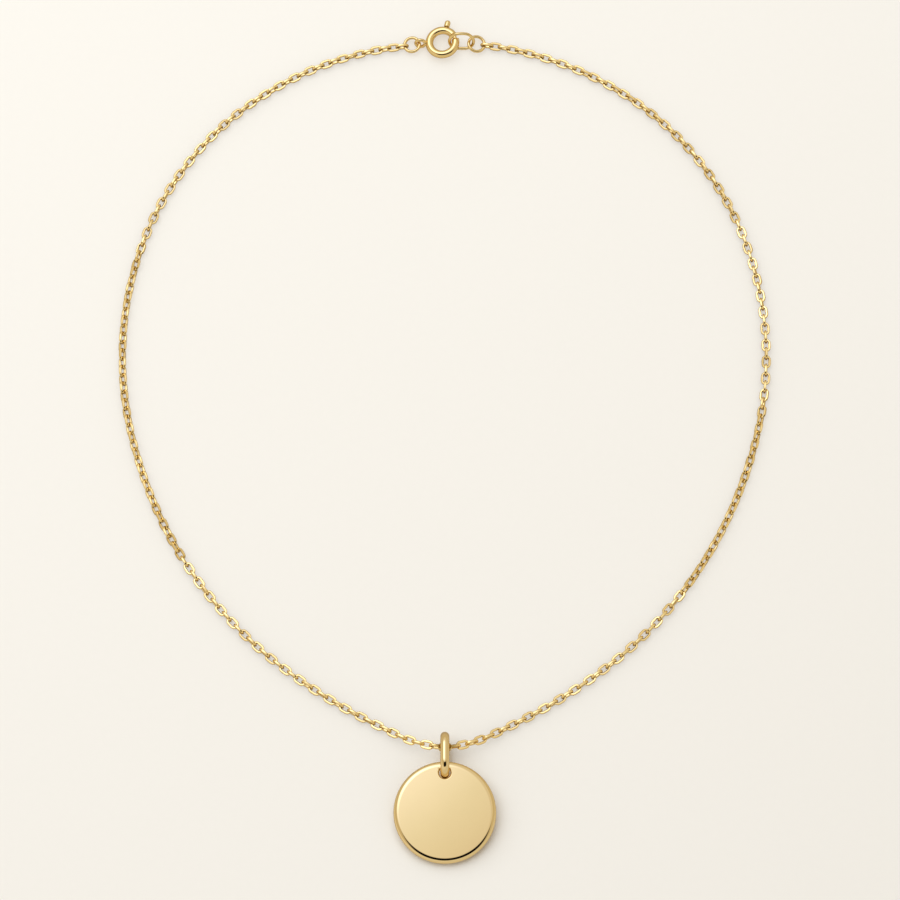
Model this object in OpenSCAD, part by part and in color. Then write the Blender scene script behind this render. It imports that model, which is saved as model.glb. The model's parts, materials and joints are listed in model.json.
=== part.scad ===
// Disc pendant on a fine oval cable chain with a spring ring clasp, lying on a table.
// The origin is the middle of the neck opening, on the table. +Y is the clasp's side.

/* [Disc] */
// Diameter of the disc
disc_d = 20; // [16:0.5:26]
// Thickness of the disc
disc_t = 1.9; // [1.4:0.1:2.2]
// Radius that rounds the disc's rim
rim_r = 0.9; // [0.3:0.05:0.9]
// Play of the bail's bend in the hole, which the disc's lean takes up in part
hole_play = 0.33; // [0.32:0.01:0.4]
// Metal left between the hole and the rim
hole_edge = 0.95; // [0.9:0.05:1.1]
// Width of the polished lip round the hole
lip = 0.15; // [0.05:0.05:0.2]

/* [Bail] */
// Length of the bail ring, along the pendant
bail_l = 9.2; // [8.6:0.2:12]
// Height of the bail ring as it stands
bail_h = 6.4; // [6.2:0.1:7]
// Wire of the bail ring
bail_wire = 1.65; // [1.4:0.05:1.65]

/* [Chain] */
// From the link in the bail to the middle of the clasp
loop_l = 151.2; // [130:1:180]
// How far the chain bows out on the left
bow_left = 64.6; // [50:1:75]
// How far the chain bows out on the right
bow_right = 64.3; // [50:1:75]
// Length of a link
link_l = 2.68; // [2.6:0.04:3]
// Width of a link
link_w = 1.75; // [1.7:0.05:1.9]
// Wire of a link
link_wire = 0.38; // [0.3:0.02:0.4]
// Length of chain that rises from the table to the bail
rise_l = 16; // [14:1:20]

/* [Clasp] */
// Outer diameter of the spring ring
clasp_d = 7; // [6.6:0.1:8]
// Diameter of the spring ring's tube
tube_d = 1.6; // [1.4:0.02:1.6]
// Wall of the tube
tube_wall = 0.24; // [0.18:0.02:0.24]
// How far the clasp sits to the left of the pendant
clasp_left = 0.55; // [0:0.05:1]
// Opening in the tube, as an angle of the ring
gap_turn = 24; // [20:1:28]
// How far the gate turns to open
gate_travel = 32; // [30:1:36]
// How far the thumb knob stands out of the tube
knob_out = 1.5; // [1:0.05:1.8]
// Width of the thumb knob's head
knob_d = 1.2; // [0.8:0.05:1.2]
// Outer diameter of the eyelet on the clasp
eyelet_d = 2.4; // [2.3:0.05:2.6]
// Wire of the eyelet
eyelet_wire = 0.5; // [0.4:0.02:0.52]

/* [End rings] */
// Outer diameter of the jump ring on the clasp's eyelet
jump_d = 3.7; // [3.4:0.1:4.2]
// Length of the oval end link
end_link_l = 5.6; // [5.4:0.1:6.5]
// Room beside the clasp's tube inside the oval end link
end_link_room = 1.28; // [1.26:0.02:1.5]
// Outer diameter of the round end ring
end_ring_d = 3.9; // [3.6:0.1:4.4]
// Wire of these three rings
ring_wire = 0.62; // [0.5:0.02:0.62]

/* [Hidden] */
gold = "#D8B45E";

// Play left between two wires that pass through each other
play = 0.11;
// The same between links of the chain, and between the clasp's rings
link_play = 0.13;
ring_play = 0.17;
// Play of the chain in the bail
bail_play = 0.15;
// Play of the round end ring in the oval link
end_play = 0.3;
// Play of the gate in the tube's bore
bore_play = 0.13;

// Half of the chain's route on the table, from the clasp's side down to the pendant.
// Columns: share of the bow sideways, share of half the loop's length towards the clasp.
ROUTE = [
    [0.310, 0.960],
    [0.453, 0.910],
    [0.708, 0.753],
    [0.891, 0.535],
    [0.988, 0.280],
    [1.000, 0.013],
    [0.931, -0.248],
    [0.796, -0.490],
    [0.600, -0.698],
    [0.353, -0.862],
    [0.200, -0.936],
    [0.074, -0.988]
];
// Turn of the links about the chain's own line.
// Columns: share of the side's length from the clasp down, degrees.
TWIST_LEFT = [[0, 0], [0.34, 0], [0.38, 38], [0.66, 38], [0.70, 0], [1, 0]];
TWIST_RIGHT = [
    [0, 0], [0.31, 0], [0.35, 14], [0.42, 14], [0.45, 0],
    [0.49, 0], [0.53, 38], [0.70, 38], [0.74, 0], [1, 0]
];

// Chain: each stretch of the route's curve is cut into this many straight steps
steps = 12;
link_in = link_l - 2 * link_wire;
link_reach = (link_w - link_wire) / 2;
link_half = link_w / 2;
pitch_max = link_in - link_play;
chain_z = link_half;
// The curve leaves an end ring from a point this many times the ring's hold behind its middle
lead_in = 3;

// Disc and bail: the disc leans on the bail, and its lowest edge rests on the table
disc_r = disc_d / 2;
bail_z = bail_h / 2;
bail_run = (bail_l - bail_h) / 2;
bend_in = bail_z - bail_wire;
// Inside of the bail's bend at the disc's two faces: the hole spans from here to the bend's outside
bend_at_face = sqrt(bend_in * bend_in - disc_t * disc_t / 4);
hole_d = bail_z - bend_at_face + 2 * hole_play;
hole_in = hole_edge + hole_d / 2;
// From the hole's middle to the middle of the rim's rounding, along the disc and down from its middle
lean_a = 2 * disc_r - rim_r - hole_in;
lean_b = disc_t / 2 - rim_r;
lean = asin((bail_z - rim_r) / norm([lean_a, lean_b])) - atan2(lean_b, lean_a);
crossing_y = -loop_l / 2;
// The flat link lies in the bail's far bend, a little below its middle
crossing_low = 0.45;
crossing_z = bail_z - crossing_low;
crossing_room = crossing_low + link_wire / 2;
bail_y = crossing_y + link_half + bail_play - sqrt(bend_in * bend_in - crossing_room * crossing_room)
    - bail_run;
hole_y = bail_y - bail_run - (bail_z + bend_at_face) / 2;

// Clasp, in its own frame: the ring's middle is the origin and angles turn from +X
ring_r = (clasp_d - tube_d) / 2;
bore_d = tube_d - 2 * tube_wall;
gate_d = bore_d - 2 * bore_play;
gap_from = 12;
gap_to = gap_from + gap_turn;
// The gate's tip goes this far into the tube's short end, and the bore there is this deep
tip_in = 6;
pocket = 12;
gate_tip = gap_from - tip_in;
// From the gap to the knob, and on to the gate's tail
knob_after = 40;
tail_after = 7;
knob_at = gap_to + knob_after;
gate_tail = knob_at + tail_after;
// Bore left for the spring behind the open gate
spring_turn = 30;
bore_end = gate_tail + gate_travel + spring_turn;
// The bore's cuts start this far outside the tube's ends
cut_over = 2;
// Knob: a thin neck in the tube's slot, a stem and a round head
neck_d = 0.5;
stem_share = 0.75;
stem_d = stem_share * knob_d;
slot_w = neck_d + 2 * play;
slot_over = 9;
slot_from = knob_at - slot_over;
slot_to = knob_at + gate_travel + slot_over;
// The eyelet stands nearly upright, sunk into the tube that it is soldered to
eyelet_roll = 70;
eyelet_sink = 0.15;
eyelet_x = -(clasp_d + eyelet_d) / 2 + eyelet_sink;

// Oval link: rolled about its length, one arm over the tube and the other under it.
// It holds the clasp up on the right, and the eyelet's foot rests on the table on the left.
end_roll = 60;
end_link_w = tube_d + end_link_room + 2 * ring_wire;
end_link_reach = (end_link_w - ring_wire) / 2;
end_link_z = end_link_reach * sin(end_roll) + ring_wire / 2;
eyelet_foot = (eyelet_d - eyelet_wire) / 2 * sin(eyelet_roll) + eyelet_wire / 2;
clasp_tilt = asin((end_link_z - eyelet_foot) / (ring_r - eyelet_x));
clasp_z = end_link_z - ring_r * sin(clasp_tilt);
clasp_pos = [-clasp_left, loop_l / 2, clasp_z];
end_link_x = -clasp_left + ring_r - tube_d / 2 - ring_play - ring_wire / 2 + (end_link_l - ring_wire) / 2;
// Its two arms clear the ring's curved tube alike when it lies a little off the clasp's middle
end_link_shift = 0.12;
end_link_y = loop_l / 2 + end_link_shift;

// Jump ring: from the eyelet down to the chain's height, turned a little towards the pendant
left_droop = 10;
jump_reach = (jump_d - ring_wire) / 2;
eyelet_mid = clasp_pos + eyelet_x * [cos(clasp_tilt), 0, sin(clasp_tilt)];
jump_pitch = asin((eyelet_mid.z - chain_z) / (2 * jump_reach));
jump_east = eyelet_mid.x - eyelet_d / 2 + eyelet_wire + ring_play + ring_wire / 2;
jump_run = jump_reach * cos(jump_pitch);
jump_pos = [
    jump_east - jump_run * cos(left_droop),
    loop_l / 2 - jump_run * sin(left_droop),
    (eyelet_mid.z + chain_z) / 2
];

// Round end ring: from below the oval link's middle down to the chain's height
right_droop = 6;
end_drop = 0.4;
end_ring_reach = (end_ring_d - ring_wire) / 2;
end_ring_pitch = asin((end_link_z - end_drop - chain_z) / (2 * end_ring_reach));
end_ring_run = end_ring_reach * cos(end_ring_pitch);
end_in = end_link_reach - ring_wire / 2;
end_side = end_drop / sin(end_roll);
end_ring_west = end_link_x + (end_link_l - end_link_w) / 2 + sqrt(end_in * end_in - end_side * end_side)
    - ring_wire / 2 - end_play;
end_ring_pos = [
    end_ring_west + end_ring_run * cos(right_droop),
    loop_l / 2 - end_ring_run * sin(right_droop),
    chain_z + end_ring_reach * sin(end_ring_pitch)
];

// Route of one side: side is -1 on the left and 1 on the right
function ring_mid(side) = side < 0 ? [jump_pos.x, jump_pos.y] : [end_ring_pos.x, end_ring_pos.y];
function ring_hold(side) = (side < 0 ? jump_run : end_ring_run) - ring_wire / 2 - play + link_in / 2;
function ring_droop(side) = side < 0 ? left_droop : right_droop;
function bow(side) = side < 0 ? bow_left : bow_right;
function chain_start(side) =
    ring_mid(side) + ring_hold(side) * [side * cos(ring_droop(side)), -sin(ring_droop(side))];
function route_point(row, side) = [side * row[0] * bow(side), row[1] * loop_l / 2];
function knots(side) = concat(
    [ring_mid(side) - lead_in * ring_hold(side) * [side, 0]],
    [chain_start(side)],
    [for (row = ROUTE) route_point(row, side)],
    [[0, crossing_y]],
    [route_point(ROUTE[len(ROUTE) - 1], -side)]
);
// Direction at b of the smooth curve through a, b and c, weighted by the nearer point
function slope(a, b, c) =
    let (p = norm(b - a), q = norm(c - b))
    ((c - b) * p / q + (b - a) * q / p) / (p + q);
function curve(a, b, c, d, t) =
    let (run = norm(c - b), u = 1 - t)
    u * u * (1 + 2 * t) * b + t * t * (3 - 2 * t) * c
    + run * t * u * (u * slope(a, b, c) - t * slope(b, c, d));
function route(side) =
    let (k = knots(side), last = len(k) - 3)
    concat(
        [
            for (i = [0 : last - 1], j = [0 : steps - 1])
                curve(k[i], k[i + 1], k[i + 2], k[i + 3], j / steps)
        ],
        [k[last + 1]]
    );
// Length of a path from its start to each of its points
function step_l(path, i) = i < len(path) ? norm(path[i] - path[i - 1]) : 0;
function lengths(path) = [
    for (i = 0, s = 0; i < len(path); s = s + step_l(path, i + 1), i = i + 1) s
];

// Links of one side: an odd number of steps, so that a link lies flat in the bail
function step_count(total) = 2 * ceil((total / pitch_max - 1) / 2) + 1;
function twist(side, share) = lookup(share, side < 0 ? TWIST_LEFT : TWIST_RIGHT);
function table_z(turn) = link_reach * max(abs(sin(turn)), abs(cos(turn))) + link_wire / 2;
function ease(t) = t * t * (3 - 2 * t);
function height(side, s, total) =
    let (low = table_z(twist(side, s / total)), t = max(0, 1 - (total - s) / rise_l))
    low + ease(t) * (crossing_z - low);

module oval_ring(length, width, wire) {
    bend = (width - wire) / 2;
    half_run = (length - width) / 2;
    for (end = [0, 180])
        rotate([0, 0, end]) {
            translate([half_run, 0, 0])
                rotate([0, 0, -90])
                    rotate_extrude(angle = 180)
                        translate([bend, 0])
                            circle(d = wire, $fn = 24);
            translate([-half_run, bend, 0])
                rotate([0, 90, 0])
                    cylinder(d = wire, h = 2 * half_run, $fn = 24);
        }
}

module round_ring(outer, wire) {
    rotate_extrude($fn = 72)
        translate([(outer - wire) / 2, 0])
            circle(d = wire, $fn = 24);
}

module tube_arc(diameter, from, to) {
    rotate([0, 0, from])
        rotate_extrude(angle = to - from, $fn = 72)
            translate([ring_r, 0])
                circle(d = diameter, $fn = 32);
}

module chain_side(side, with_crossing) {
    path = route(side);
    run = lengths(path);
    total = run[len(run) - 1];
    count = step_count(total);
    across = [for (i = [0 : len(path) - 1]) [run[i], path[i].x]];
    along = [for (i = [0 : len(path) - 1]) [run[i], path[i].y]];
    // A link points along the middle half of its own length
    near = link_l / 4;
    for (i = [0 : with_crossing ? count : count - 1]) {
        s = i * total / count;
        before = max(0, s - near);
        after = min(total, s + near);
        ahead = [
            lookup(after, across) - lookup(before, across),
            lookup(after, along) - lookup(before, along)
        ];
        climb = height(side, after, total) - height(side, before, total);
        heading = i == count ? 0 : atan2(ahead.y, ahead.x);
        roll = twist(side, s / total) + (i % 2 == 0 ? 90 : 0);
        translate([lookup(s, across), lookup(s, along), height(side, s, total)])
            rotate([0, -atan2(climb, norm(ahead)), heading])
                rotate([roll, 0, 0])
                    oval_ring(link_l, link_w, link_wire);
    }
}

module rim_profile() {
    translate([0, -disc_t / 2])
        square([disc_r - rim_r, disc_t]);
    translate([0, rim_r - disc_t / 2])
        square([disc_r, disc_t - 2 * rim_r]);
    for (side = [-1, 1])
        translate([disc_r - rim_r, side * (disc_t / 2 - rim_r)])
            circle(r = rim_r, $fn = 48);
}

module in_clasp() {
    translate(clasp_pos)
        rotate([0, -clasp_tilt, 0])
            children();
}

module disc() {
    color(gold)
        translate([0, hole_y, bail_z])
            rotate([lean, 0, 0])
                difference() {
                    translate([0, hole_in - disc_r, 0])
                        rotate_extrude($fn = 144)
                            rim_profile();
                    cylinder(d = hole_d, h = 2 * disc_t, center = true, $fn = 48);
                    // A 45 degree lip on both faces
                    for (face = [0, 180])
                        rotate([face, 0, 0])
                            translate([0, 0, disc_t / 2 - lip])
                                cylinder(d1 = hole_d, d2 = hole_d + 4 * lip, h = 2 * lip, $fn = 48);
                }
}

module bail() {
    color(gold)
        translate([0, bail_y, bail_z])
            rotate([90, 0, 90])
                oval_ring(bail_l, bail_h, bail_wire);
}

module chain_left() {
    color(gold)
        chain_side(-1, true);
}

module chain_right() {
    color(gold)
        chain_side(1, false);
}

module clasp_ring() {
    color(gold)
        in_clasp() {
            difference() {
                union() {
                    tube_arc(tube_d, gap_to, gap_from + 360);
                    translate([eyelet_x, 0, 0])
                        rotate([eyelet_roll, 0, 0])
                            round_ring(eyelet_d, eyelet_wire);
                }
                tube_arc(bore_d, gap_to - cut_over, bore_end);
                tube_arc(bore_d, gap_from - pocket, gap_from + cut_over);
                rotate([0, 0, slot_from])
                    rotate_extrude(angle = slot_to - slot_from, $fn = 72)
                        translate([ring_r, -slot_w / 2])
                            square([tube_d, slot_w]);
            }
        }
}

module clasp_gate() {
    color(gold)
        in_clasp() {
            tube_arc(gate_d, gate_tip, gate_tail);
            rotate([0, 0, knob_at])
                translate([ring_r, 0, 0])
                    rotate([0, 90, 0])
                        rotate_extrude($fn = 32)
                            knob_profile();
        }
}

module knob_profile() {
    top = tube_d / 2 + knob_out;
    square([neck_d / 2, top - knob_d / 2]);
    translate([0, tube_d / 2 + play])
        square([stem_d / 2, knob_out - play - knob_d / 2]);
    intersection() {
        translate([0, top - knob_d / 2])
            circle(d = knob_d, $fn = 32);
        translate([0, top - knob_d])
            square([knob_d, knob_d]);
    }
}

module jump_ring() {
    color(gold)
        translate(jump_pos)
            rotate([0, -jump_pitch, left_droop])
                round_ring(jump_d, ring_wire);
}

module end_link() {
    color(gold)
        translate([end_link_x, end_link_y, end_link_z])
            rotate([end_roll, 0, 0])
                oval_ring(end_link_l, end_link_w, ring_wire);
}

module end_ring() {
    color(gold)
        translate(end_ring_pos)
            rotate([0, end_ring_pitch, -right_droop])
                round_ring(end_ring_d, ring_wire);
}

disc();
bail();
chain_left();
chain_right();
clasp_ring();
clasp_gate();
jump_ring();
end_link();
end_ring();
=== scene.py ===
"""A disc pendant on a fine cable chain, modelled and finished around its fixed frame."""

import json
import math

import bmesh
import bpy
import numpy as np
from mathutils import Matrix, Vector


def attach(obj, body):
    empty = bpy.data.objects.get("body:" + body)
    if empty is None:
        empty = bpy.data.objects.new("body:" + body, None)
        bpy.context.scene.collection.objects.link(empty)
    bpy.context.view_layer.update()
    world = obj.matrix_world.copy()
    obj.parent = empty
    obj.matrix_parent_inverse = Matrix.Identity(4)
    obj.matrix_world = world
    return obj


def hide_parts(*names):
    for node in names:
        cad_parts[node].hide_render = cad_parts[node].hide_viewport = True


bl_info = {
    "name": "Disc pendant necklace",
    "version": (1, 0, 0),
    "blender": (4, 5, 0),
    "location": "View3D > Sidebar > Necklace",
    "description": "Models a disc pendant, its cable chain and its spring ring clasp",
    "category": "Add Mesh",
}

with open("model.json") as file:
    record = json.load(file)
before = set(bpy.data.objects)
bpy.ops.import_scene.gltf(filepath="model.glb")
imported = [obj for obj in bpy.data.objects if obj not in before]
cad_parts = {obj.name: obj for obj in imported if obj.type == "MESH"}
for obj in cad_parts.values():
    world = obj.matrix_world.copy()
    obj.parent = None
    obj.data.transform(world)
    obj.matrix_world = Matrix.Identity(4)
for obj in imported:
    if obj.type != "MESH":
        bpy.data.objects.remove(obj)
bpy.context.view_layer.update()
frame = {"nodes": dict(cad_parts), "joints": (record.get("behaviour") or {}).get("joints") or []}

MM = 0.001
# Points that are nearer to each other than this are one
MERGE = 0.001 * MM
NECKLACE = "necklace"
GATE = "gate"
HALF_TURN = math.pi
FULL_TURN = 2 * math.pi


def linear(hex_colour):
    """An sRGB hex colour as linear red, green and blue."""
    parts = [int(hex_colour[i:i + 2], 16) / 255 for i in (1, 3, 5)]
    return tuple(c / 12.92 if c <= 0.04045 else ((c + 0.055) / 1.055) ** 2.4 for c in parts)


class NecklaceSizes(bpy.types.PropertyGroup):
    """Sizes that the frame doesn't give."""

    face_dome: bpy.props.FloatProperty(
        name="Face dome",
        description="How far the middle of the disc's face stands above its edge, from polishing",
        default=0.16 * MM, unit="LENGTH", subtype="DISTANCE",
    )
    rim_width: bpy.props.FloatProperty(
        name="Rim width",
        description="How far in from the disc's edge its rounded rim reaches",
        default=1.12 * MM, unit="LENGTH", subtype="DISTANCE",
    )
    hole_round: bpy.props.FloatProperty(
        name="Hole rounding",
        description="How wide the polished rounding of the hole's edge is, seen from the face",
        default=0.28 * MM, unit="LENGTH", subtype="DISTANCE",
    )
    link_flat: bpy.props.FloatProperty(
        name="Link flats",
        description="How much of each side of a link's wire is flat, from rolling and polishing",
        default=0.46, min=0.1, max=0.9,
    )
    link_bend_steps: bpy.props.IntProperty(
        name="Link bend steps",
        description="Steps in each half bend of a chain link",
        default=7, min=3, max=12,
    )
    link_plump: bpy.props.FloatProperty(
        name="Link plumpness",
        description="Thickness that polishing leaves on a link's wire beyond its solid's",
        default=0.11 * MM, unit="LENGTH", subtype="DISTANCE",
    )
    bail_plump: bpy.props.FloatProperty(
        name="Bail plumpness",
        description="The same for the bail's wire",
        default=0.13 * MM, unit="LENGTH", subtype="DISTANCE",
    )
    arch: bpy.props.FloatProperty(
        name="End link arch",
        description="How far the oval end link's upper arm arches out",
        default=0.2 * MM, unit="LENGTH", subtype="DISTANCE",
    )
    link_roll: bpy.props.FloatProperty(
        name="Link play",
        description="How far a chain link may lie turned about its own length",
        default=math.radians(7), unit="ROTATION", subtype="ANGLE",
    )
    tube_d: bpy.props.FloatProperty(
        name="Clasp tube",
        description="Diameter of the spring ring's tube",
        default=1.6 * MM, unit="LENGTH", subtype="DISTANCE",
    )
    tube_wall: bpy.props.FloatProperty(
        name="Clasp tube wall",
        description="Wall of the spring ring's tube",
        default=0.24 * MM, unit="LENGTH", subtype="DISTANCE",
    )
    clasp_d: bpy.props.FloatProperty(
        name="Clasp ring",
        description="Outer diameter of the spring ring",
        default=7 * MM, unit="LENGTH", subtype="DISTANCE",
    )
    gap_from: bpy.props.FloatProperty(
        name="Gap start",
        description="Where the opening in the spring ring starts",
        default=math.radians(12), unit="ROTATION", subtype="ANGLE",
    )
    gap_turn: bpy.props.FloatProperty(
        name="Gap",
        description="Opening in the spring ring, as an angle of the ring",
        default=math.radians(24), unit="ROTATION", subtype="ANGLE",
    )
    knob_at: bpy.props.FloatProperty(
        name="Knob place",
        description="Where the thumb knob stands on the ring",
        default=math.radians(76), unit="ROTATION", subtype="ANGLE",
    )
    knob_out: bpy.props.FloatProperty(
        name="Knob height",
        description="How far the thumb knob stands out of the tube",
        default=1.5 * MM, unit="LENGTH", subtype="DISTANCE",
    )
    knob_d: bpy.props.FloatProperty(
        name="Knob head",
        description="Diameter of the thumb knob's head",
        default=1.2 * MM, unit="LENGTH", subtype="DISTANCE",
    )
    eyelet_d: bpy.props.FloatProperty(
        name="Eyelet",
        description="Outer diameter of the eyelet soldered to the spring ring",
        default=2.56 * MM, unit="LENGTH", subtype="DISTANCE",
    )
    eyelet_wire: bpy.props.FloatProperty(
        name="Eyelet wire",
        description="Wire of the eyelet",
        default=0.66 * MM, unit="LENGTH", subtype="DISTANCE",
    )
    seam: bpy.props.FloatProperty(
        name="Ring seam",
        description="Gap where a jump ring's two cut ends meet",
        default=0.03 * MM, unit="LENGTH", subtype="DISTANCE",
    )


class NecklaceColours(bpy.types.PropertyGroup):
    """Colours of the metal and of the stage."""

    pendant_gold: bpy.props.FloatVectorProperty(
        name="Pendant gold",
        description="Plating of the disc and the bail",
        default=linear("#F3DAA6"), size=3, subtype="COLOR", min=0, max=1,
    )
    chain_gold: bpy.props.FloatVectorProperty(
        name="Chain gold",
        description="Plating of the chain's links",
        default=linear("#FDE1A1"), size=3, subtype="COLOR", min=0, max=1,
    )
    clasp_gold: bpy.props.FloatVectorProperty(
        name="Clasp gold",
        description="Plating of the clasp and its rings",
        default=linear("#F4D89B"), size=3, subtype="COLOR", min=0, max=1,
    )
    paper: bpy.props.FloatVectorProperty(
        name="Paper",
        description="The paper that the necklace lies on",
        default=linear("#EBE7DE"), size=3, subtype="COLOR", min=0, max=1,
    )


def sizes():
    return bpy.context.scene.necklace_sizes


def colours():
    return bpy.context.scene.necklace_colours


def make_active(*pieces):
    """Selects these objects and nothing else."""
    bpy.ops.object.select_all(action="DESELECT")
    for piece in pieces:
        piece.select_set(True)
    bpy.context.view_layer.objects.active = pieces[0]


def start_edit(piece, select="VERT"):
    make_active(piece)
    bpy.ops.object.mode_set(mode="EDIT")
    bpy.ops.mesh.select_mode(type=select)
    bpy.ops.mesh.select_all(action="SELECT")


def end_edit():
    bpy.ops.object.mode_set(mode="OBJECT")


def pick(piece, kind, test):
    """In edit mode, selects the verts, edges or faces that pass a test, and nothing else."""
    bpy.ops.mesh.select_all(action="DESELECT")
    mesh = bmesh.from_edit_mesh(piece.data)
    for part in getattr(mesh, kind):
        if test(part):
            part.select_set(True)
    bmesh.update_edit_mesh(piece.data)


def close_up(piece):
    """Merges doubled points, fills open ends and turns the faces outwards, all in edit mode."""
    bpy.ops.mesh.select_all(action="SELECT")
    bpy.ops.mesh.remove_doubles(threshold=MERGE)
    bpy.ops.mesh.fill_holes(sides=0)
    bpy.ops.mesh.normals_make_consistent(inside=False)
    end_edit()


def place(piece, matrix):
    """Moves a piece's mesh to where a matrix says, and leaves its object at the origin."""
    piece.matrix_world = matrix
    make_active(piece)
    bpy.ops.object.transform_apply(location=True, rotation=True, scale=True)


def just_added(name):
    """The primitive that was added last, named, and with its place moved into its mesh."""
    piece = bpy.context.object
    piece.name = name
    place(piece, piece.matrix_world.copy())
    return piece


def soften_ends(piece, by, segments):
    """Rounds the edges round a piece's flat ends, which are its only faces of many sides."""
    start_edit(piece, "EDGE")
    pick(piece, "edges", lambda e: any(len(f.verts) > 4 for f in e.link_faces))
    bpy.ops.mesh.bevel(
        offset=by, offset_type="OFFSET", segments=segments, profile=0.5, affect="EDGES")
    end_edit()


def shade(piece, degrees=35):
    """Shades a piece smooth, save at edges sharper than an angle."""
    make_active(piece)
    bpy.ops.object.shade_smooth_by_angle(angle=math.radians(degrees))


def joined(name, pieces):
    """One piece made of several."""
    make_active(*pieces)
    if len(pieces) > 1:
        bpy.ops.object.join()
    pieces[0].name = name
    pieces[0].data.name = name
    return pieces[0]


def lie_of(piece):
    """How a ring or link lies, and its size: a matrix whose axes are its length, its width and the
    way through it, and how far it reaches along each."""
    mesh = piece.data
    points = np.empty(len(mesh.vertices) * 3)
    mesh.vertices.foreach_get("co", points)
    points = points.reshape(-1, 3)
    centres = np.empty(len(mesh.polygons) * 3)
    mesh.polygons.foreach_get("center", centres)
    centres = centres.reshape(-1, 3)
    areas = np.empty(len(mesh.polygons))
    mesh.polygons.foreach_get("area", areas)
    middle = (centres * areas[:, None]).sum(0) / areas.sum()
    offsets = centres - middle
    _, axes = np.linalg.eigh((offsets * areas[:, None]).T @ offsets)
    axes = axes[:, ::-1]
    if axes[2, 2] < 0:
        axes[:, 2] *= -1
    if np.linalg.det(axes) < 0:
        axes[:, 1] *= -1
    along = (points - middle) @ axes
    low, high = along.min(0), along.max(0)
    centre = middle + axes @ ((low + high) / 2)
    return Matrix.Translation(centre) @ Matrix(axes.tolist()).to_4x4(), high - low


def parts_of(node):
    """Copies of a node's loose solids, in order round the loop."""
    copy = node.copy()
    copy.data = node.data.copy()
    copy.parent = None
    bpy.context.scene.collection.objects.link(copy)
    start_edit(copy)
    bpy.ops.mesh.remove_doubles(threshold=MERGE)
    bpy.ops.mesh.separate(type="LOOSE")
    end_edit()
    return list(bpy.context.selected_objects)


def remove(pieces):
    for piece in pieces:
        mesh = piece.data
        bpy.data.objects.remove(piece)
        bpy.data.meshes.remove(mesh)


def sweep(steps, angle, centre=(0, 0, 0)):
    """Spins what is selected about +Z, anticlockwise: the spin itself turns the other way."""
    bpy.ops.mesh.spin(steps=steps, angle=-angle, center=centre, axis=(0, 0, 1))


def wire_section(name, at, turn, radius, sides, flat=0.0):
    """The cross-section of a wire, standing across a ring at a place and an angle of it.
    It is round, or with 4 sides and a flat it is square, with its corners cut so that the flat is
    the share of each side that is left."""
    roll, reach = (HALF_TURN / 4, radius * math.sqrt(2)) if flat else (0, radius)
    bpy.ops.object.select_all(action="DESELECT")
    bpy.ops.mesh.primitive_circle_add(
        vertices=sides, radius=reach, location=at, rotation=(HALF_TURN / 2, roll, turn))
    piece = just_added(name)
    if flat:
        start_edit(piece)
        bpy.ops.mesh.bevel(offset=radius * (1 - flat), offset_type="OFFSET", affect="VERTICES")
        end_edit()
    return piece


def wire_ring(name, length, width, wire, bend_steps, sides, seam=0.0, run_steps=1, flat=0.0):
    """A ring of wire lying flat: two half bends, and two straight runs if it is oval.
    A seam leaves the two cut ends of its wire that far apart."""
    bend = (width - wire) / 2
    run = max(0.0, (length - width) / 2)
    spare = seam / bend
    piece = wire_section(name, (run, -bend, 0), -HALF_TURN / 2, wire / 2, sides, flat)
    start_edit(piece)
    sweep(bend_steps, HALF_TURN, (run, 0, 0))
    for _ in range(run_steps if run else 0):
        bpy.ops.mesh.extrude_edges_move(
            TRANSFORM_OT_translate={"value": (-2 * run / run_steps, 0, 0)})
    sweep(bend_steps, HALF_TURN - spare, (-run, 0, 0))
    for _ in range(run_steps if run else 0):
        bpy.ops.mesh.extrude_edges_move(
            TRANSFORM_OT_translate={"value": (2 * run / run_steps, 0, 0)})
    close_up(piece)
    bpy.ops.object.shade_smooth()
    return piece


def arc_rod(name, radius, rod, start, turn, steps, sides):
    """A round rod bent along an arc, with flat ends."""
    at = (radius * math.cos(start), radius * math.sin(start), 0)
    piece = wire_section(name, at, start, rod / 2, sides)
    start_edit(piece)
    sweep(steps, turn)
    close_up(piece)
    return piece


def cut(piece, cutter):
    """Takes the cutter's shape out of a piece."""
    make_active(piece)
    modifier = piece.modifiers.new("cut", "BOOLEAN")
    modifier.operation = "DIFFERENCE"
    modifier.solver = "EXACT"
    modifier.object = cutter
    bpy.ops.object.modifier_apply(modifier=modifier.name)
    remove([cutter])


def finish(piece, material, node, body=NECKLACE, shades=True):
    """Gives a piece its metal, and its place in the frame.
    Thin wires hardly shade the paper: they let the lamp through and only dim the paper close by."""
    piece.data.materials.clear()
    piece.data.materials.append(material)
    piece.visible_shadow = shades
    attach(piece, body)
    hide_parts(node)


def add_node(tree, kind, settings=None, links=None):
    """Adds a shader node, with values or links for its inputs by name or place."""
    node = tree.nodes.new(kind)
    for name, value in (settings or {}).items():
        if isinstance(name, str) and hasattr(node, name) and name not in node.inputs:
            setattr(node, name, value)
        else:
            node.inputs[name].default_value = value
    for name, output in (links or {}).items():
        tree.links.new(output, node.inputs[name])
    return node


# Spacing of the plate's slow change of colour
DRIFT = 4 * MM
# Length of a buffing line, which is drawn this coarse because real ones are too fine to show
BUFFING = 0.6 * MM
# Which way the buffing lines run
BUFFED_ALONG = (0.0, 0.0, 0.6)
# How far the painted shade looks for close pieces and the floor: within it the metal's colour is
# darkened as if shaded
PAINTED_SHADE_REACH = 3 * MM


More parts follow.
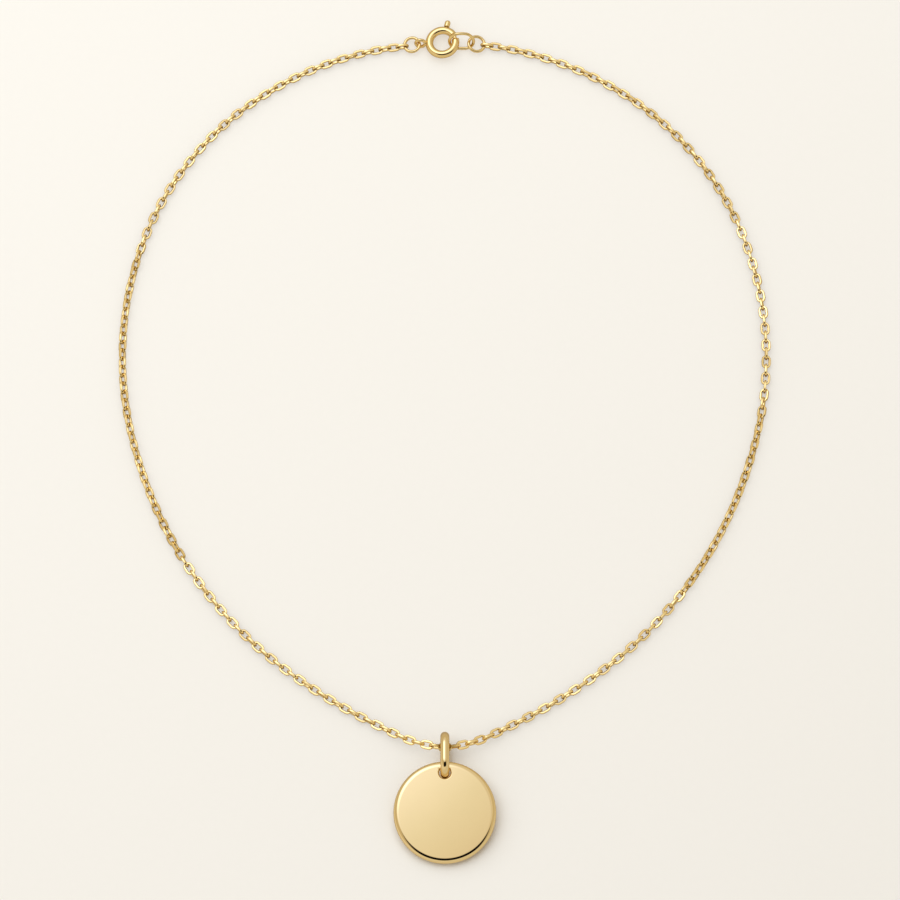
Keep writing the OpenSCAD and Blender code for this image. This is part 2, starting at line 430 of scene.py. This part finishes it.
def plated_metal(name, colour, polish, grain, tone, line_depth, painted_shade_share):
    """Gold plate over brass. Metallic, so its colour is all in the reflection.

    polish is its least and most roughness, and grain the spacing of the marks that make it vary.
    tone is how far the plate's colour drifts, and line_depth the depth of the finest buffing lines.
    The last argument is the share of the colour left in painted shade between close pieces and near
    the floor, which stands in for their shade and the dark things they mirror there."""
    material = bpy.data.materials.new(name)
    material.use_nodes = True
    tree = material.node_tree
    tree.nodes.clear()
    place_on = add_node(tree, "ShaderNodeTexCoord").outputs["Object"]
    drift = add_node(
        tree, "ShaderNodeTexNoise", {"Scale": 1 / DRIFT, "Detail": 2.0}, {"Vector": place_on})
    darker = tuple(c * (1 - tone) for c in colour) + (1.0,)
    plate = add_node(
        tree, "ShaderNodeMix",
        {"data_type": "RGBA", 6: darker, 7: tuple(colour) + (1.0,)}, {0: drift.outputs["Fac"]})
    # Painted shade: the plate's colour is darkened where close pieces and the floor hide the sky,
    # in place of real shade and dark reflections
    sky_open = add_node(
        tree, "ShaderNodeAmbientOcclusion", {"samples": 24, "Distance": PAINTED_SHADE_REACH})
    unshaded_share = add_node(
        tree, "ShaderNodeMapRange", {"From Min": 0.78, "From Max": 0.95},
        {"Value": sky_open.outputs["AO"]})
    painted_shade_colour = tuple(painted_shade_share * c ** (2 - painted_shade_share) for c in colour) + (1.0,)
    plate_with_painted_shade = add_node(
        tree, "ShaderNodeMix", {"data_type": "RGBA", 6: painted_shade_colour},
        {0: unshaded_share.outputs["Result"], 7: plate.outputs[2]})
    marks = add_node(
        tree, "ShaderNodeTexNoise", {"Scale": 1 / grain, "Detail": 4.0, "Roughness": 0.6},
        {"Vector": place_on})
    rough = add_node(
        tree, "ShaderNodeMapRange",
        {"From Min": 0.35, "From Max": 0.75, "To Min": polish[0], "To Max": polish[1]},
        {"Value": marks.outputs["Fac"]})
    stretch = add_node(
        tree, "ShaderNodeMapping", {"Rotation": BUFFED_ALONG, "Scale": (1.0, 12.0, 4.0)},
        {"Vector": place_on})
    lines = add_node(
        tree, "ShaderNodeTexNoise", {"Scale": 1 / BUFFING, "Detail": 3.0},
        {"Vector": stretch.outputs["Vector"]})
    bump = add_node(
        tree, "ShaderNodeBump", {"Strength": 1.0, "Distance": line_depth},
        {"Height": lines.outputs["Fac"]})
    shader = add_node(
        tree, "ShaderNodeBsdfPrincipled", {"Metallic": 1.0},
        {"Base Color": plate_with_painted_shade.outputs[2], "Roughness": rough.outputs["Result"],
         "Normal": bump.outputs["Normal"]})
    add_node(
        tree, "ShaderNodeOutputMaterial", None, {"Surface": shader.outputs["BSDF"]})
    return material


def mirror_gold():
    """Gold plate buffed to a mirror on a soft wheel: long clean reflections, barely hazed."""
    return plated_metal(
        "mirror_polished_gold_plate", colours().pendant_gold,
        polish=(0.035, 0.07), grain=0.5 * MM, tone=0.03, line_depth=0.00002 * MM, painted_shade_share=1.0)


def tumbled_gold():
    """Gold plate tumbled bright with steel shot: small soft dents spread each glint a little."""
    return plated_metal(
        "tumbled_gold_plate", colours().chain_gold,
        polish=(0.06, 0.11), grain=0.25 * MM, tone=0.05, line_depth=0.0001 * MM, painted_shade_share=0.4)


def clasp_gold():
    """Gold plate over a drawn tube, polished in the barrel: bright, with slightly wavy glints."""
    return plated_metal(
        "barrel_polished_gold_plate", colours().clasp_gold,
        polish=(0.06, 0.13), grain=0.3 * MM, tone=0.04, line_depth=0.0001 * MM, painted_shade_share=0.85)


def paper():
    """Smooth matt paper: an even pale ground with the faintest mottle of its pulp."""
    material = bpy.data.materials.new("smooth_matt_paper")
    material.use_nodes = True
    tree = material.node_tree
    tree.nodes.clear()
    place_on = add_node(tree, "ShaderNodeTexCoord").outputs["Object"]
    pulp = add_node(
        tree, "ShaderNodeTexNoise", {"Scale": 1 / (1.5 * MM), "Detail": 3.0}, {"Vector": place_on})
    pale = colours().paper
    darker = tuple(c * 0.985 for c in pale) + (1.0,)
    tint = add_node(
        tree, "ShaderNodeMix", {"data_type": "RGBA", 6: darker, 7: tuple(pale) + (1.0,)},
        {0: pulp.outputs["Fac"]})
    shader = add_node(
        tree, "ShaderNodeBsdfPrincipled", {"Roughness": 0.9, "Specular IOR Level": 0.2},
        {"Base Color": tint.outputs[2]})
    add_node(
        tree, "ShaderNodeOutputMaterial", None, {"Surface": shader.outputs["BSDF"]})
    return material


class NECKLACE_OT_disc(bpy.types.Operator):
    """Add the polished disc with its rounded rim, slightly domed faces and rounded hole"""

    bl_idname = "necklace.disc"
    bl_label = "Disc"

    def execute(self, context):
        node = frame["nodes"]["disc"]
        lie, extent = lie_of(node)
        radius, thick = extent[0] / 2, extent[2]
        hole, hole_r, lip = self.bore(node, lie.inverted(), radius, thick)
        dome = sizes().face_dome
        depth = thick / 2 - dome
        face_r = radius - sizes().rim_width
        piece = self.blank(face_r, depth)
        top = depth + dome * (1 - (hole[0] ** 2 + hole[1] ** 2) / face_r ** 2)
        cut(piece, self.hole_cutter(hole, hole_r + lip / 2, top, thick / 4))
        piece = joined("disc_polished", [piece])
        place(piece, lie)
        shade(piece, 30)
        finish(piece, mirror_gold(), "disc")
        return {"FINISHED"}

    def bore(self, node, back, radius, thick):
        """The middle and radius of the solid's hole and the width of its lip, from the hole's wall:
        the faces that stand upright and well inside the rim."""
        points = np.array([back @ v.co for v in node.data.vertices])
        turned = back.to_3x3()
        inside = radius - 0.3 * MM
        wall = set()
        for face in node.data.polygons:
            upright = abs((turned @ face.normal).z) < 0.01
            if upright and (back @ face.center).xy.length < inside:
                wall.update(face.vertices)
        wall = points[list(wall)]
        middle = (wall.min(0) + wall.max(0)) / 2
        hole_r = np.hypot(wall[:, 0] - middle[0], wall[:, 1] - middle[1]).mean()
        return middle, hole_r, thick / 2 - wall[:, 2].max()

    def blank(self, face_r, depth):
        """The disc without its hole: half an oval for the rim, and its domed faces in rings."""
        rim, dome = sizes().rim_width, sizes().face_dome
        bpy.ops.object.select_all(action="DESELECT")
        bpy.ops.mesh.primitive_circle_add(
            vertices=64, radius=1, rotation=(HALF_TURN / 2, 0, 0))
        piece = just_added("disc_blank")
        start_edit(piece)
        pick(piece, "verts", lambda v: v.co.x < -0.01)
        bpy.ops.mesh.delete(type="VERT")
        bpy.ops.mesh.select_all(action="SELECT")
        bpy.ops.transform.resize(value=(rim, 1, depth), center_override=(0, 0, 0))
        bpy.ops.transform.translate(value=(face_r, 0, 0))
        rings = 14
        for side in (-1, 1):
            pick(piece, "verts", lambda v: v.co.z * side > depth - MERGE)
            outer = face_r
            for ring in range(rings, 0, -1):
                inner = (ring - 1) * face_r / rings
                rise = dome * (outer * outer - inner * inner) / (face_r * face_r)
                bpy.ops.mesh.extrude_vertices_move(
                    TRANSFORM_OT_translate={"value": (inner - outer, 0, side * rise)})
                outer = inner
        bpy.ops.mesh.select_all(action="SELECT")
        sweep(192, FULL_TURN)
        close_up(piece)
        return piece

    def hole_cutter(self, hole, mouth_r, top, over):
        """What the hole takes out: narrow inside, and opening in a round flare to its mouth at both
        faces, past which it runs straight on."""
        wide, deep, steps = sizes().hole_round, 0.5 * MM, 8
        reach = [mouth_r - wide * math.cos(i * HALF_TURN / 2 / steps) for i in range(steps + 1)]
        rises = [deep * math.sin(i * HALF_TURN / 2 / steps) for i in range(steps + 1)]
        bpy.ops.object.select_all(action="DESELECT")
        bpy.ops.mesh.primitive_cylinder_add(
            vertices=96, radius=reach[0], depth=2 * (top - deep), location=(hole[0], hole[1], 0),
            end_fill_type="NGON")
        cutter = just_added("hole_cutter")
        start_edit(cutter, "FACE")
        for side in (-1, 1):
            pick(cutter, "faces", lambda f: f.normal.z * side > 0.99)
            for step in range(steps):
                grown = reach[step + 1] / reach[step]
                bpy.ops.mesh.extrude_region_move(TRANSFORM_OT_translate={
                    "value": (0, 0, side * (rises[step + 1] - rises[step]))})
                bpy.ops.transform.resize(
                    value=(grown, grown, 1), center_override=(hole[0], hole[1], 0))
            bpy.ops.mesh.extrude_region_move(
                TRANSFORM_OT_translate={"value": (0, 0, side * over)})
        end_edit()
        return cutter


class NECKLACE_OT_bail(bpy.types.Operator):
    """Add the oval bail ring, through the disc's hole and round the chain"""

    bl_idname = "necklace.bail"
    bl_label = "Bail"

    def execute(self, context):
        lie, extent = lie_of(frame["nodes"]["bail"])
        piece = wire_ring("bail_ring", *(extent + sizes().bail_plump), bend_steps=40, sides=40)
        place(piece, lie)
        finish(piece, mirror_gold(), "bail")
        return {"FINISHED"}


class NECKLACE_OT_chain(bpy.types.Operator):
    """Add both sides of the cable chain, link by link, each lying as its solid does"""

    bl_idname = "necklace.chain"
    bl_label = "Chain"

    def execute(self, context):
        material = tumbled_gold()
        play = sizes().link_roll
        rng = np.random.default_rng(7)
        for node in ("chain_left", "chain_right"):
            solids = parts_of(frame["nodes"][node])
            lies = sorted((lie_of(solid) for solid in solids), key=lambda a: -a[0].translation.y)
            remove(solids)
            extent = np.mean([size for _, size in lies], axis=0) + sizes().link_plump
            link = wire_ring(
                "link", *extent, bend_steps=sizes().link_bend_steps, sides=4,
                flat=sizes().link_flat)
            # Smooth round the bends, crisp where a flat meets its bevel
            shade(link, 40)
            copies = []
            for lie, _ in lies:
                copy = link.copy()
                copy.data = link.data.copy()
                context.scene.collection.objects.link(copy)
                place(copy, lie @ Matrix.Rotation(rng.uniform(-play, play), 4, "X"))
                copies.append(copy)
            remove([link])
            piece = joined(node + "_links", copies)
            finish(piece, material, node, shades=False)
        return {"FINISHED"}


def in_clasp():
    """The clasp's own place: its ring's middle is the origin, and angles turn from +X."""
    joint = frame["joints"][0]
    up = Vector(joint["axis"]).normalized()
    east = Vector((up.z, 0, -up.x))
    turn = Matrix((east, up.cross(east), up)).transposed()
    return Matrix.Translation(joint["pos_m"]) @ turn.to_4x4()


# The clasp's inside, by angles of its ring: its bore reaches this far on both sides of the gap
LONG_BORE = math.radians(109)
SHORT_BORE = math.radians(12)
# The bores' cuts start this far outside the tube's ends
CUT_OVER = math.radians(2)
# The slot that the knob runs in
SLOT_FROM = math.radians(67)
SLOT_TO = math.radians(117)
SLOT_W = 0.72 * MM
# The eyelet stands nearly upright, sunk this deep into the tube
EYELET_ROLL = math.radians(70)
EYELET_SUNK = 0.23 * MM
# The bolt: its play in the bore, how far its tip is in the short bore, and its tail past the knob
BOLT_PLAY = 0.13 * MM
TIP_IN = math.radians(6)
TAIL_AFTER = math.radians(7)
# The knob's neck in the slot, and its stem as a share of its head
NECK_D = 0.5 * MM
STEM_SHARE = 0.98


class NECKLACE_OT_clasp(bpy.types.Operator):
    """Add the spring ring's hollow tube with its slot, and the eyelet soldered to it"""

    bl_idname = "necklace.clasp"
    bl_label = "Clasp ring"

    def execute(self, context):
        s = sizes()
        ring_r = (s.clasp_d - s.tube_d) / 2
        bore = s.tube_d - 2 * s.tube_wall
        gap_to = s.gap_from + s.gap_turn
        tube = arc_rod(
            "clasp_tube", ring_r, s.tube_d, gap_to, FULL_TURN - s.gap_turn, steps=120, sides=40)
        soften_ends(tube, 0.3 * s.tube_wall, segments=4)
        cut(tube, arc_rod(
            "long_bore", ring_r, bore, gap_to - CUT_OVER, LONG_BORE + CUT_OVER,
            steps=40, sides=32))
        cut(tube, arc_rod(
            "short_bore", ring_r, bore, s.gap_from - SHORT_BORE, SHORT_BORE + CUT_OVER,
            steps=8, sides=32))
        cut(tube, self.slot_cutter(ring_r))
        shade(tube)
        eyelet = wire_ring(
            "eyelet", s.eyelet_d, s.eyelet_d, s.eyelet_wire, bend_steps=24, sides=20)
        at = Matrix.Translation((-(s.clasp_d + s.eyelet_d) / 2 + EYELET_SUNK, 0, 0))
        place(eyelet, at @ Matrix.Rotation(EYELET_ROLL, 4, "X"))
        collar = self.collar(-s.clasp_d / 2)
        piece = joined("clasp_spring_ring", [tube, eyelet, collar])
        place(piece, in_clasp())
        finish(piece, clasp_gold(), "clasp_ring", shades=False)
        return {"FINISHED"}

    def slot_cutter(self, ring_r):
        """What the knob's slot takes out of the tube's outer side."""
        s = sizes()
        bpy.ops.object.select_all(action="DESELECT")
        bpy.ops.mesh.primitive_plane_add(size=1, rotation=(HALF_TURN / 2, 0, 0))
        slot = just_added("slot_cutter")
        start_edit(slot)
        bpy.ops.transform.resize(value=(s.tube_d, 1, SLOT_W), center_override=(0, 0, 0))
        bpy.ops.transform.translate(value=(ring_r + s.tube_d / 2, 0, 0))
        end_edit()
        place(slot, Matrix.Rotation(SLOT_FROM, 4, "Z"))
        start_edit(slot)
        sweep(40, SLOT_TO - SLOT_FROM)
        close_up(slot)
        return slot

    def collar(self, at):
        """The bead of solder between the tube and the eyelet."""
        bpy.ops.object.select_all(action="DESELECT")
        bpy.ops.mesh.primitive_cylinder_add(
            vertices=32, radius=0.55 * MM, depth=0.6 * MM, location=(at - 0.02 * MM, 0, 0),
            rotation=(0, HALF_TURN / 2, 0), end_fill_type="NGON")
        piece = just_added("solder_collar")
        soften_ends(piece, 0.28 * MM, segments=5)
        shade(piece)
        return piece


class NECKLACE_OT_gate(bpy.types.Operator):
    """Add the curved bolt that closes the spring ring, with its thumb knob"""

    bl_idname = "necklace.gate"
    bl_label = "Clasp gate"

    def execute(self, context):
        s = sizes()
        ring_r = (s.clasp_d - s.tube_d) / 2
        rod_d = s.tube_d - 2 * s.tube_wall - 2 * BOLT_PLAY
        start = s.gap_from - TIP_IN
        turn = s.knob_at + TAIL_AFTER - start
        rod = arc_rod("gate_rod", ring_r, rod_d, start, turn, steps=36, sides=28)
        soften_ends(rod, 0.3 * rod_d, segments=5)
        shade(rod)

        outward = Matrix.Rotation(s.knob_at, 4, "Z") @ Matrix.Rotation(HALF_TURN / 2, 4, "Y")
        top = ring_r + s.tube_d / 2 + s.knob_out
        head_at = top - s.knob_d / 2
        clear_of_tube = ring_r + s.tube_d / 2 + 0.05 * MM
        neck = self.post("knob_neck", NECK_D, ring_r, head_at)
        stem = self.post("knob_stem", STEM_SHARE * s.knob_d, clear_of_tube, head_at)
        bpy.ops.object.select_all(action="DESELECT")
        bpy.ops.mesh.primitive_uv_sphere_add(
            segments=32, ring_count=20, radius=s.knob_d / 2, location=(0, 0, head_at))
        head = just_added("knob_head")
        bpy.ops.object.shade_smooth()
        knob = joined("thumb_knob", [neck, stem, head])
        place(knob, outward)
        piece = joined("clasp_bolt", [rod, knob])
        place(piece, in_clasp())
        finish(piece, clasp_gold(), "clasp_gate", GATE, shades=False)
        return {"FINISHED"}

    def post(self, name, width, low, high):
        """A round post along +Z with softened ends."""
        bpy.ops.object.select_all(action="DESELECT")
        bpy.ops.mesh.primitive_cylinder_add(
            vertices=32, radius=width / 2, depth=high - low, location=(0, 0, (low + high) / 2),
            end_fill_type="NGON")
        piece = just_added(name)
        soften_ends(piece, 0.1 * width, segments=3)
        shade(piece)
        return piece


class NECKLACE_OT_end_rings(bpy.types.Operator):
    """Add the two round rings at the chain's ends and the oval link that the clasp hooks"""

    bl_idname = "necklace.end_rings"
    bl_label = "End rings"

    def execute(self, context):
        material = clasp_gold()
        for node, cut_open in (("jump_ring", True), ("end_link", False), ("end_ring", True)):
            lie, extent = lie_of(frame["nodes"][node])
            seam = sizes().seam if cut_open else 0.0
            if cut_open:
                extent[0] = extent[1] = max(extent[:2])
            piece = wire_ring(
                node + "_wire", *extent, bend_steps=32, sides=24, seam=seam, run_steps=8)
            if node == "end_link":
                self.arch(piece, 1 if lie.col[1].z > 0 else -1)
            place(piece, lie)
            finish(piece, material, node, shades=False)
        return {"FINISHED"}

    def arch(self, piece, side):
        """Bows the upper arm of the oval link outwards."""
        start_edit(piece)
        pick(piece, "verts", lambda v: abs(v.co.x) < 0.01 * MM and v.co.y * side > 0)
        bpy.ops.transform.translate(
            value=(0, side * sizes().arch, 0), use_proportional_edit=True,
            use_proportional_connected=True, proportional_edit_falloff="SMOOTH",
            proportional_size=2.6 * MM)
        end_edit()


# The sheet of light overhead that the metal mirrors, by degrees from its brightest spot
SHEET = (
    (0, (0.92, 0.95, 1.0, 1)),
    (10, (0.80, 0.83, 0.88, 1)),
    (22, (0.45, 0.46, 0.50, 1)),
    (27, (0.373, 0.373, 0.36, 1)),
    (32, (0.33, 0.312, 0.28, 1)),
    (37, (0.31, 0.29, 0.25, 1)),
    (73, (0.35, 0.325, 0.265, 1)),
    (95, (0.29, 0.27, 0.22, 1)),
    (180, (0.29, 0.27, 0.22, 1)),
)
# The dark gap between the sheet's edge and the pale cards that stand round the table: how much of
# it there is, by degrees from the sheet's middle
GAP = (
    (0, (0, 0, 0, 1)),
    (39.5, (0, 0, 0, 1)),
    (43, (1, 1, 1, 1)),
    (72, (1, 1, 1, 1)),
    (78, (0, 0, 0, 1)),
    (180, (0, 0, 0, 1)),
)
# The table as the metal mirrors it, by degrees from where the room is darkest, behind the table
TABLE = (
    (0, (0.19, 0.16, 0.11, 1)),
    (35, (0.20, 0.165, 0.115, 1)),
    (60, (0.26, 0.225, 0.165, 1)),
    (85, (0.30, 0.27, 0.21, 1)),
    (180, (0.30, 0.27, 0.21, 1)),
)


def by_angle(tree, direction, centre, stops):
    """A colour of the sky that changes with the angle from a centre, by stops in degrees."""
    near = add_node(
        tree, "ShaderNodeVectorMath", {"operation": "DOT_PRODUCT", 1: centre}, {0: direction})
    off = add_node(tree, "ShaderNodeMath", {"operation": "ARCCOSINE"}, {0: near.outputs["Value"]})
    share = add_node(
        tree, "ShaderNodeMath", {"operation": "DIVIDE", 1: HALF_TURN}, {0: off.outputs["Value"]})
    ramp = add_node(tree, "ShaderNodeValToRGB", None, {"Fac": share.outputs["Value"]})
    spots = ramp.color_ramp.elements
    for _ in stops[2:]:
        spots.new(0.5)
    for spot, (degrees, colour) in zip(spots, stops):
        spot.position = degrees / 180
        spot.color = colour
    return ramp.outputs["Color"]


def smooth_spot(tree, direction, centre, outer, inner):
    """A round spot on the sky: 1 within the inner angle of its centre, 0 beyond the outer one."""
    near = add_node(
        tree, "ShaderNodeVectorMath", {"operation": "DOT_PRODUCT", 1: centre}, {0: direction})
    return add_node(
        tree, "ShaderNodeMapRange",
        {"interpolation_type": "SMOOTHSTEP", "From Min": math.cos(math.radians(outer)),
         "From Max": math.cos(math.radians(inner)), "To Min": 0.0, "To Max": 1.0},
        {"Value": near.outputs["Value"]}).outputs["Result"]


def compass(azimuth, elevation):
    """A direction from its compass angle, 0 at +Y and 90 at +X, and its height, in degrees."""
    a, e = math.radians(azimuth), math.radians(elevation)
    return (math.cos(e) * math.sin(a), math.cos(e) * math.cos(a), math.sin(e))


class NECKLACE_OT_stage(bpy.types.Operator):
    """Add the pale paper floor, the soft studio light and the camera"""

    bl_idname = "necklace.stage"
    bl_label = "Stage"

    def execute(self, context):
        self.floor()
        self.room(context)
        self.lamps()
        self.camera(context)
        context.scene.view_settings.view_transform = "Standard"
        return {"FINISHED"}

    def floor(self):
        bpy.ops.object.select_all(action="DESELECT")
        bpy.ops.mesh.primitive_plane_add(size=8)
        floor = bpy.context.object
        floor.name = "paper_floor"
        floor.data.materials.append(paper())
        floor.visible_glossy = False

    def room(self, context):
        """The tent: even soft light on the paper. The metal mirrors its sheet, brightest to the
        upper left, and the dark gap below it, where a black flag stands on the viewer's side."""
        world = bpy.data.worlds.new("studio")
        world.use_nodes = True
        context.scene.world = world
        tree = world.node_tree
        tree.nodes.clear()
        direction = add_node(tree, "ShaderNodeTexCoord").outputs["Generated"]
        sheet = by_angle(tree, direction, compass(-40, 63), SHEET)
        gap = by_angle(tree, direction, compass(-5, 63), GAP)
        flag = smooth_spot(tree, direction, compass(174, 60), 39, 24)
        dark = add_node(
            tree, "ShaderNodeMix",
            {"data_type": "RGBA", 6: (0.26, 0.225, 0.155, 1), 7: (0.001, 0.001, 0.001, 1)},
            {0: flag})
        mirrored = add_node(
            tree, "ShaderNodeMix", {"data_type": "RGBA"}, {0: gap, 6: sheet, 7: dark.outputs[2]})
        table = by_angle(tree, direction, compass(0, -65), TABLE)
        below = smooth_spot(tree, direction, (0, 0, -1), 90, 84)
        seen = add_node(
            tree, "ShaderNodeMix", {"data_type": "RGBA"},
            {0: below, 6: mirrored.outputs[2], 7: table})
        glossy = add_node(tree, "ShaderNodeLightPath").outputs["Is Glossy Ray"]
        sky = add_node(
            tree, "ShaderNodeMix", {"data_type": "RGBA", 6: (0.218, 0.204, 0.187, 1)},
            {0: glossy, 7: seen.outputs[2]})
        background = add_node(
            tree, "ShaderNodeBackground", {"Strength": 2.5}, {"Color": sky.outputs[2]})
        add_node(tree, "ShaderNodeOutputWorld", None, {"Surface": background.outputs["Background"]})

    def lamps(self):
        """The key light on the paper, whose soft shadows fall to the lower right."""
        self.panel(
            "key_panel", compass(-38, 55), distance=1.0, side=1.5, power=13.1,
            colour=(0.95, 1.0, 1.07))

    def panel(self, name, direction, distance, side, power, colour):
        toward = Vector(direction)
        bpy.ops.object.select_all(action="DESELECT")
        bpy.ops.object.light_add(
            type="AREA", location=toward * distance,
            rotation=toward.to_track_quat("Z", "Y").to_euler())
        lamp = bpy.context.object
        lamp.name = name
        lamp.data.shape = "SQUARE"
        lamp.data.size = side
        lamp.data.energy = power
        lamp.data.color = colour
        lamp.visible_glossy = False

    def camera(self, context):
        """A long lens above the pendant's side, looking down at the picture's steep angle."""
        target = Vector((1.0, -12.94, 0)) * MM
        elevation = math.radians(70.2)
        distance = 1.0
        away = Vector((0, -math.cos(elevation), math.sin(elevation)))
        bpy.ops.object.select_all(action="DESELECT")
        bpy.ops.object.camera_add(
            location=target + away * distance, rotation=(math.pi / 2 - elevation, 0, 0))
        camera = context.object
        camera.data.lens = 200
        camera.data.sensor_width = 36
        camera.data.clip_start = 0.01
        context.scene.camera = camera


class NECKLACE_PT_panel(bpy.types.Panel):
    """Lists the necklace's pieces"""

    bl_label = "Disc pendant necklace"
    bl_idname = "NECKLACE_PT_panel"
    bl_space_type = "VIEW_3D"
    bl_region_type = "UI"
    bl_category = "Necklace"

    def draw(self, context):
        for operator in OPERATORS:
            self.layout.operator(operator.bl_idname)
        for group in (context.scene.necklace_sizes, context.scene.necklace_colours):
            column = self.layout.column()
            for name in group.bl_rna.properties.keys():
                if name not in ("rna_type", "name"):
                    column.prop(group, name)


OPERATORS = (
    NECKLACE_OT_stage,
    NECKLACE_OT_disc,
    NECKLACE_OT_bail,
    NECKLACE_OT_chain,
    NECKLACE_OT_clasp,
    NECKLACE_OT_gate,
    NECKLACE_OT_end_rings,
)
CLASSES = (NecklaceSizes, NecklaceColours, NECKLACE_PT_panel) + OPERATORS


def register():
    for cls in CLASSES:
        bpy.utils.register_class(cls)
    bpy.types.Scene.necklace_sizes = bpy.props.PointerProperty(type=NecklaceSizes)
    bpy.types.Scene.necklace_colours = bpy.props.PointerProperty(type=NecklaceColours)


def unregister():
    del bpy.types.Scene.necklace_colours
    del bpy.types.Scene.necklace_sizes
    for cls in reversed(CLASSES):
        bpy.utils.unregister_class(cls)


def main():
    register()
    bpy.ops.necklace.stage()
    bpy.ops.necklace.disc()
    bpy.ops.necklace.bail()
    bpy.ops.necklace.chain()
    bpy.ops.necklace.clasp()
    bpy.ops.necklace.gate()
    bpy.ops.necklace.end_rings()


if __name__ == "__main__":
    main()
